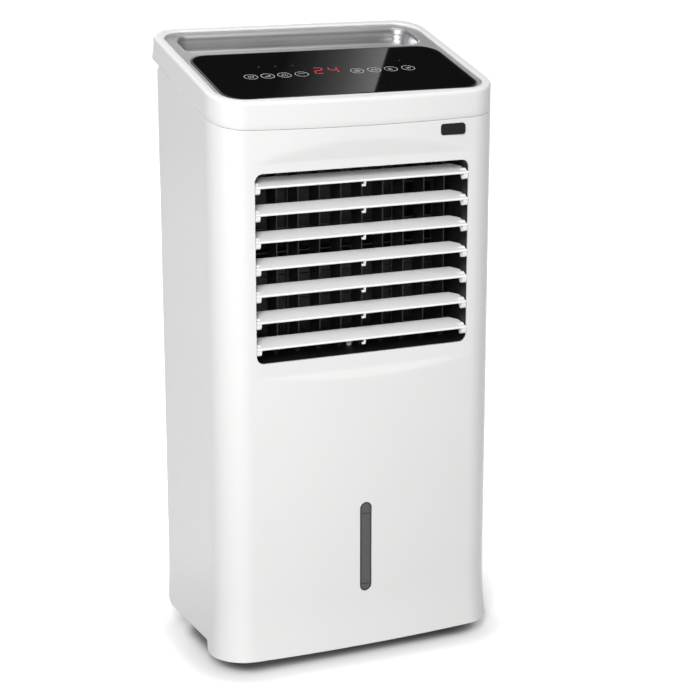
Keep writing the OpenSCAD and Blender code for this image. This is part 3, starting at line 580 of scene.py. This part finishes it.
def head_ring():
    """The head's white ring: its band, the rounded top edge, and the rim that drops into the insert."""
    slope_top, slope_low = math.tan(HEAD_TILT), math.tan(LOW_TILT)

    def wall_row(inset, top_drop=None, low_rise=None):
        """A row of the band, top_drop below the top plane or else low_rise above the seam's plane."""
        row = []
        for p, d in outer_lines(inset):
            if top_drop is not None:
                fall = top_drop / math.cos(HEAD_TILT) / (slope_top * d[1] - d[2])
            else:
                fall = (p[2] - low_plane(p[1]) - low_rise) / (slope_low * d[1] - d[2])
            row.append(p + d * fall)
        return row

    def rim_row(grow, w):
        loop = rect_loop(HALF_W - RIM, RIM_FRONT, HEAD_LEN - RIM, RIM_R, grow)
        return [head_point(x, v, w) for x, v in loop]

    fillet, inner_r = 3.2 * MM, 1.0 * MM
    rim_depth, undercut = 4 * MM, 3.5 * MM
    # the hem and its rounded outer edge, as (inset, rise) in mm
    hem = [(4, 0.1), (0.3, 0.1), (0.1, 0.18), (0, 0.4)]
    rows = [wall_row(inset * MM, low_rise=rise * MM) for inset, rise in hem]
    low, top = rows[-1], wall_row(0, top_drop=fillet)
    rows += [[a * (1 - t) + b * t for a, b in zip(low, top)] for t in (0.25, 0.5, 0.75)]
    rows += [wall_row(fillet * c, top_drop=fillet * s) for c, s in quarter(6)]
    rows.append([0.5 * (a + b) for a, b in zip(rows[-1], rim_row(inner_r, 0))])
    rows += [rim_row(inner_r * s, -inner_r * c) for c, s in quarter(4)]
    rows += [rim_row(0, -rim_depth), rim_row(undercut, -rim_depth), rows[0]]
    obj = make_object("head_ring_shell", *skin(rows), WHITE, "body_white")
    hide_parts("head_ring")


def insert_tray():
    """The silver insert: a plate round the glass and a hand trough with rolled lips."""
    gap, glass_gap, top = 0.3 * MM, 0.35 * MM, -2 * MM
    verts, faces = [], []

    def add(new_verts, new_faces):
        start = len(verts)
        verts.extend(new_verts)
        faces.extend(tuple(i + start for i in face) for face in new_faces)

    base = np.array(rect_loop(TROUGH_HALF, TROUGH_V0, TROUGH_V1, TROUGH_R))
    outward = np.array(rect_loop(TROUGH_HALF, TROUGH_V0, TROUGH_V1, TROUGH_R, 1.0)) - base

    def rect(grow, w):
        """The trough's outline grown by grow at height w, which may differ from point to point."""
        flat = base + outward * np.broadcast_to(grow, len(base))[:, None]
        return [head_point(x, v, level) for (x, v), level in zip(flat, np.broadcast_to(w, len(base)))]

    front_lip, side_lip, back_lip = 1.2, 3.4, 7.6
    back = outward[:, 1]
    lip = (side_lip + np.where(back > 0, back_lip - side_lip, side_lip - front_lip) * back) * MM
    foot, mid_draft, draft = 6 * MM, 0.5 * MM, 1.2 * MM
    wall_low = foot - TROUGH_DEPTH
    rows = [rect(lip * s, top - lip * c) for c, s in quarter(8)]
    rows.append(rect(-mid_draft, (top - lip + wall_low) / 2))
    rows += [rect(-draft - foot * c, wall_low - foot * (1 - s)) for c, s in quarter(6)]
    add(*skin(rows))
    n = len(base)
    start = len(verts) - n
    verts.append(sum(rows[-1]) / n)
    faces.extend((start + k, start + (k + 1) % n, start + n) for k in range(n))

    half = HALF_W - RIM - gap
    outer = np.array(rect_loop(half, RIM_FRONT + gap, HEAD_LEN - RIM - gap, RIM_R - gap))
    glass = np.array(rect_loop(GLASS_HALF, GLASS_V0, GLASS_V1, GLASS_R, glass_gap))
    trough = base + outward * lip[:, None]
    flat, plate = sheet(outer, [glass, trough], spaced([(-half, 6 * MM), (half, 6 * MM)]),
                        spaced([(0, 4 * MM), (HEAD_LEN, 4 * MM)]), 1.5 * MM)
    add([head_point(x, v, top) for x, v in flat], plate)
    obj = make_object("trim_tray", verts, faces, SILVER, "silver_trim")
    thicken(obj, 1.4 * MM)
    bevel(obj, 0.45 * MM, 3, 55)
    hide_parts("trim_insert")


def glass_panel():
    """The black control glass, with a rounded upper edge and a flat back."""
    edge, back, rebate = 0.7 * MM, -4.4 * MM, 4 * MM

    def row(grow, w):
        return [head_point(x, v, w) for x, v in rect_loop(GLASS_HALF, GLASS_V0, GLASS_V1, GLASS_R, grow)]

    rows = [row(-rebate, back), row(0, back)]
    rows += [row(-edge * c, GLASS_TOP - edge * s) for c, s in quarter(4)]
    rows += [row(-inward * MM, GLASS_TOP) for inward in (3, 8, 15)]
    verts, faces = skin(rows)
    n = len(rows[0])
    last = len(verts) - n
    faces += [tuple(last + k for k in range(n)), tuple(reversed(range(n)))]
    obj = make_object("control_panel_glass", verts, faces, GLASS, "black_glass")
    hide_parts("control_glass")


# ---------------------------------------------------------------- printing and display on the glass

PRINT_LIFT, PRINT_THICK = 0.06 * MM, 0.08 * MM


def flat_shape(name, polygons, material):
    """A thin raised print from convex polygons of (x, v) points on the glass."""
    def on_glass(lift):
        return lambda x, v: head_point(x, v, GLASS_TOP + lift)

    verts, faces = prisms(polygons, on_glass(PRINT_LIFT - PRINT_THICK), on_glass(PRINT_LIFT))
    make_object(name, verts, faces, material, "display", smooth=False)


def ring_strips(cx, cy, r, width, n, a0=0.0, a1=2 * math.pi, squeeze=1.0):
    """An arc's line as n short strips, squeezed in height for a flattened ring."""
    out = []
    for k in range(n):
        t0, t1 = a0 + (a1 - a0) * k / n, a0 + (a1 - a0) * (k + 1) / n
        out.append([(cx + rr * math.cos(t), cy + rr * squeeze * math.sin(t))
                    for rr, t in ((r, t0), (r, t1), (r - width, t1), (r - width, t0))])
    return out


def bar(x0, y0, x1, y1, width):
    """A straight line from one point to the other."""
    p, q = np.array([x0, y0]), np.array([x1, y1])
    d = q - p
    n = np.array([-d[1], d[0]]) / np.linalg.norm(d) * width / 2
    return [tuple(p - n), tuple(q - n), tuple(q + n), tuple(p + n)]


def glyph(kind, cx, cy):
    """A plain symbol inside a key's ring."""
    u = MM
    w = 0.45 * MM
    out = []
    if kind == "power":
        out += ring_strips(cx, cy, 3 * u, w, 24, math.radians(120), math.radians(420))
        out.append(bar(cx, cy + 0.5 * u, cx, cy + 3.6 * u, w))
    elif kind == "speed":
        for k in range(3):
            x = cx + (k - 1) * 2.2 * u
            out.append(bar(x, cy - 2 * u, x, cy + (k - 0.6) * 1.6 * u, 1.1 * u))
    elif kind == "fan":
        for k in range(3):
            a = math.radians(90 + 120 * k)
            x, y = cx + 1.9 * u * math.cos(a), cy + 1.9 * u * math.sin(a)
            out += ring_strips(x, y, 1.8 * u, w, 14, a - 2.4, a + 1.2)
    elif kind == "swing":
        out += ring_strips(cx, cy - 2.2 * u, 4.6 * u, w, 14, math.radians(40), math.radians(140))
        for side in (-1, 1):
            out.append(bar(cx + side * 3.6 * u, cy + 0.6 * u, cx + side * 2.2 * u, cy + 1.9 * u, w))
    elif kind == "timer":
        out += ring_strips(cx, cy, 3 * u, w, 26)
        out += [bar(cx, cy, cx, cy + 2 * u, w), bar(cx, cy, cx + 1.6 * u, cy, w)]
    elif kind == "drops":
        for side in (-1, 1):
            x = cx + side * 1.9 * u
            out += ring_strips(x, cy - 0.8 * u, 1.4 * u, w, 16)
            out.append(bar(x, cy + 0.6 * u, x, cy + 2.6 * u, w))
    elif kind == "moon":
        out += ring_strips(cx, cy, 3 * u, w, 20, math.radians(60), math.radians(300))
        out += ring_strips(cx + 1.6 * u, cy, 2.9 * u, w, 16, math.radians(100), math.radians(260))
    elif kind == "snow":
        for k in range(3):
            dx, dy = 3.2 * u * math.cos(k * math.pi / 3), 3.2 * u * math.sin(k * math.pi / 3)
            out.append(bar(cx - dx, cy - dy, cx + dx, cy + dy, w))
    return out


# Each key's symbol and its place across the glass, in mm. Their row climbs slightly to the right.
KEYS = [("power", -90.1), ("speed", -72.6), ("fan", -55.0), ("swing", -36.7),
        ("timer", 23.1), ("drops", 41.7), ("moon", 60.2), ("snow", 79.5)]
ROW_START, ROW_LEN, ROW_V, ROW_CLIMB = -91.5, 172, 70.5, 3.5
KEY_R, KEY_LINE, KEY_SQUEEZE, SYMBOL_SQUEEZE = 7 * MM, 0.5 * MM, 0.86, 0.68
DOT_R, DOT_V = 0.9 * MM, 94.5 * MM


def panel_print():
    """The keys' rings and symbols, and an indicator dot above each key but the power key."""
    shapes, dots = [], []
    for kind, x in KEYS:
        cx, cy = x * MM, (ROW_V + ROW_CLIMB * (x - ROW_START) / ROW_LEN) * MM
        shapes += ring_strips(cx, cy, KEY_R, KEY_LINE, 44, squeeze=KEY_SQUEEZE)
        shapes += [[(px, cy + (py - cy) * SYMBOL_SQUEEZE) for px, py in poly] for poly in glyph(kind, cx, cy)]
        if kind != "power":
            dots.append([(cx + DOT_R * math.cos(a), DOT_V + DOT_R * math.sin(a))
                         for a in np.linspace(0, 2 * math.pi, 16, endpoint=False)])
    flat_shape("panel_symbols", shapes, PRINT)
    flat_shape("panel_indicators", dots, DIM_GLOW)


# The lit segments of each digit, and where the digits start.
SEGMENTS = {2: "abged", 4: "fgbc"}
DIGITS = [(2, -21.4 * MM), (4, -5.4 * MM)]
DIGIT_V = 71 * MM


def display_digits():
    """The two lit digits, made of slanted six-sided segments."""
    w, h, t, gap, slant = 8.4 * MM, 14.4 * MM, 1.35 * MM, 0.5 * MM, 0.14
    ends = {
        "a": (0, h, w, h), "g": (0, h / 2, w, h / 2), "d": (0, 0, w, 0),
        "f": (0, h / 2, 0, h), "e": (0, 0, 0, h / 2), "b": (w, h / 2, w, h), "c": (w, 0, w, h / 2),
    }
    polys = []
    for digit, x0 in DIGITS:
        for name in SEGMENTS[digit]:
            ax, ay, bx, by = ends[name]
            d = np.array([bx - ax, by - ay])
            d = d / np.linalg.norm(d)
            n = np.array([-d[1], d[0]]) * t / 2
            a, b = np.array([ax, ay]) + d * gap, np.array([bx, by]) - d * gap
            six = [a, a + d * t / 2 - n, b - d * t / 2 - n, b, b - d * t / 2 + n, a + d * t / 2 + n]
            polys.append([(x0 + p[0] + slant * p[1], DIGIT_V + p[1]) for p in six])
    flat_shape("display_digits", polys, GLOW)


# ---------------------------------------------------------------- water gauge

def upright_plates(name, outlines, y0, y1, material, slot, edge):
    """Thin plates that stand across Y, each from a closed outline of (x, z) points, with softened edges."""
    verts, faces = prisms(outlines, lambda x, z: (x, y0, z), lambda x, z: (x, y1, z))
    obj = make_object(name, verts, faces, material, slot, smooth=False)
    bevel(obj, edge, 2, 50)


def gauge():
    """The sight strip inside the window, with its upper and lower level marks."""
    face_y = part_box("gauge_window")[0].y
    half, low, high = 4.5 * MM, 71 * MM, 161.4 * MM
    strip = rounded_rect(-half, half, low, high, half * 0.99, 1.5 * MM)
    proud = 0.2 * MM
    upright_plates("gauge_strip", [strip], face_y - proud, face_y + proud, STRIP, "smoke_lens", 0.1 * MM)
    mark_half, mark_h, mark_r, levels = 4.2 * MM, 0.55 * MM, 0.3 * MM, (77 * MM, 151.3 * MM)
    marks = [rounded_rect(-mark_half, mark_half, z - mark_h, z + mark_h, mark_r, 2 * MM) for z in levels]
    upright_plates("gauge_marks", marks, face_y - 0.35 * MM, face_y, DARK_AND_PAINTED_SHADE, "dark_plastic", 0.05 * MM)


# ---------------------------------------------------------------- stage, light and camera

# The sky's grey and the brighter grey behind the cooler. MIRRORED is the direction that the control glass
# mirrors. The spans are cosines of the angle from it: the sky brightens over the first, and is full bright at
# BRIGHT_AT of it, and it turns into the dark patch over the second.
SKY, BACK_GLOW, BRIGHT_AT = 0.235, 0.85, 0.55
MIRRORED = (0.4211, 0.7185, 0.5535)
GLOW_SPAN, PATCH_SPAN = (0.80, 0.99), (0.99, 0.9955)

# The streak in the dark patch lies along a plane with this normal: its reach on the plane's two sides, and
# its (place, grey) stops across that reach.
STREAK_NORMAL = (0.8425, -0.5381, 0.0272)
STREAK_SPAN = (-0.06, 0.01)
STREAK = [(0.14, 0.0), (0.33, 0.07), (0.48, 0.19), (0.59, 0.31), (0.74, 0.6), (0.835, 0.8), (0.84, 0.0)]

# The floor's glow and its grey, as (distance, value) stops; near the cooler both fall to paint its contact
# shadow. The distance, in metres, is from a rectangle that is UNDER inside the cooler's outline.
UNDER = 45 * MM
FLOOR_GLOW_AND_PAINTED_SHADOW = [(0.026, 0.0), (0.031, 0.05), (0.037, 0.2), (0.043, 0.16), (0.055, 0.08), (0.067, 0.12),
              (0.085, 0.2), (0.13, 0.4), (0.25, 0.76)]
FLOOR_PAINTED_SHADOW = [(0.0, 0.3), (0.02, 0.26), (0.026, 0.37), (0.031, 0.45), (0.037, 0.6), (0.043, 0.75),
               (0.055, 0.85), (0.07, 0.9)]
FLOOR_HALF = 45.0

AIM = Vector((0, 0, 0.32))


def sky(world):
    """An even sky with a brighter area behind the cooler. In it is the dark patch which the control glass
    mirrors, with a soft grey streak."""
    nodes, links = world.node_tree.nodes, world.node_tree.links
    coord = nodes.new("ShaderNodeTexCoord")

    def ramp_along(axis, span, stops):
        """A ramp over the sky by the dot product with an axis, from one end of the span to the other."""
        dot = nodes.new("ShaderNodeVectorMath")
        dot.operation = "DOT_PRODUCT"
        dot.inputs[1].default_value = axis
        links.new(coord.outputs["Generated"], dot.inputs[0])
        part = nodes.new("ShaderNodeMapRange")
        part.inputs["From Min"].default_value, part.inputs["From Max"].default_value = span
        links.new(dot.outputs["Value"], part.inputs["Value"])
        return ramp_through(nodes, links, part.outputs["Result"], greys(stops))

    mix = nodes.new("ShaderNodeMixRGB")
    links.new(ramp_along(MIRRORED, PATCH_SPAN, [(0.0, 0.0), (1.0, 1.0)]), mix.inputs["Fac"])
    links.new(ramp_along(MIRRORED, GLOW_SPAN, [(0.0, SKY), (BRIGHT_AT, BACK_GLOW)]), mix.inputs["Color1"])
    links.new(ramp_along(STREAK_NORMAL, STREAK_SPAN, STREAK), mix.inputs["Color2"])
    links.new(mix.outputs["Color"], nodes["Background"].inputs["Color"])
    nodes["Background"].inputs["Strength"].default_value = 1.0


def lit_floor(paint, shader):
    """The floor glows like a light table; under the cooler its glow and grey fade into a painted contact
    shadow.
    """
    nodes, links = paint.node_tree.nodes, paint.node_tree.links

    def step(kind, a, b=None):
        """A step of arithmetic on numbers or on the outputs of other nodes."""
        node = nodes.new("ShaderNodeMath")
        node.operation = kind
        for socket, value in zip(node.inputs, (a, b)):
            if isinstance(value, float):
                socket.default_value = value
            elif value is not None:
                links.new(value, socket)
        return node.outputs["Value"]

    split = nodes.new("ShaderNodeSeparateXYZ")
    links.new(nodes.new("ShaderNodeTexCoord").outputs["Object"], split.inputs["Vector"])
    low, high = CAD_BOX
    gaps = []
    for axis, a, b in (("X", low.x, high.x), ("Y", low.y, BACK_Y)):
        off = step("ABSOLUTE", step("SUBTRACT", split.outputs[axis], (a + b) / 2))
        gap = step("MAXIMUM", step("SUBTRACT", off, (b - a) / 2 - UNDER), 0.0)
        gaps.append(step("MULTIPLY", gap, gap))
    distance = step("SQRT", step("ADD", *gaps))
    # painted contact shadow: the floor's glow and its grey both fall towards the cooler
    glow = ramp_through(nodes, links, distance, greys(FLOOR_GLOW_AND_PAINTED_SHADOW))
    links.new(glow, shader.inputs["Emission Strength"])
    shade = ramp_through(nodes, links, distance, greys(FLOOR_PAINTED_SHADOW))
    links.new(shade, shader.inputs["Base Color"])


def floor():
    mesh = bpy.data.meshes.new("floor")
    corners = [(x * FLOOR_HALF, y * FLOOR_HALF, 0) for x, y in ((-1, -1), (1, -1), (1, 1), (-1, 1))]
    mesh.from_pydata(corners, [], [(0, 1, 2, 3)])
    obj = bpy.data.objects.new("floor", mesh)
    bpy.context.scene.collection.objects.link(obj)
    paint = plastic("pale_floor", (0.9, 0.9, 0.9), 0.6, grain=80, bump=0.0, spread=0.004)
    shader = paint.node_tree.nodes["Principled BSDF"]
    shader.inputs["Emission Color"].default_value = (1, 1, 1, 1)
    lit_floor(paint, shader)
    mesh.materials.append(paint)
    obj.visible_diffuse = False  # the glow doesn't light the cooler from below


def direction(azimuth, elevation):
    """The direction at an azimuth and elevation in degrees, where azimuth 0 is in front of the cooler."""
    a, e = math.radians(azimuth), math.radians(elevation)
    return Vector((math.sin(a) * math.cos(e), -math.cos(a) * math.cos(e), math.sin(e)))


def area(name, azimuth, elevation, distance, size_x, size_y, power):
    """A rectangular light that faces the cooler."""
    place = AIM + distance * direction(azimuth, elevation)
    light = bpy.data.lights.new(name, "AREA")
    light.shape = "RECTANGLE"
    light.size, light.size_y, light.energy = size_x, size_y, power
    obj = bpy.data.objects.new(name, light)
    obj.location = place
    obj.rotation_euler = (AIM - place).to_track_quat("-Z", "Y").to_euler()
    bpy.context.scene.collection.objects.link(obj)


def studio():
    scene = bpy.context.scene
    scene.view_settings.view_transform = "Standard"
    scene.view_settings.look = "None"
    world = bpy.data.worlds.new("studio")
    scene.world = world
    world.use_nodes = True
    sky(world)
    floor()
    area("key_front", -30, 27, 3.0, 0.9, 2.0, 97)
    area("corner_strip", -64, 12, 3.0, 0.2, 2.2, 5)
    area("top_soft", 0, 80, 2.4, 2.0, 2.0, 15)
    area("fill_back", 172, 14, 3.0, 1.6, 1.6, 22)


def camera():
    """The photograph's viewpoint, lens and framing."""
    scene = bpy.context.scene
    focal_px, frame_px, sensor = 1943.0, 700, 36.0
    data = bpy.data.cameras.new("camera")
    data.sensor_width = sensor
    data.lens = focal_px / frame_px * sensor
    data.clip_end = 2 * FLOOR_HALF
    obj = bpy.data.objects.new("camera", data)
    obj.location = (-0.7927, -1.7585, 0.7862)
    obj.rotation_euler = (-direction(-25.05, 14.25)).to_track_quat("-Z", "Y").to_euler()
    scene.collection.objects.link(obj)
    scene.camera = obj


camera()
studio()
dress_cad_nodes()
shell()
head_ring()
insert_tray()
glass_panel()
panel_print()
display_digits()
gauge()
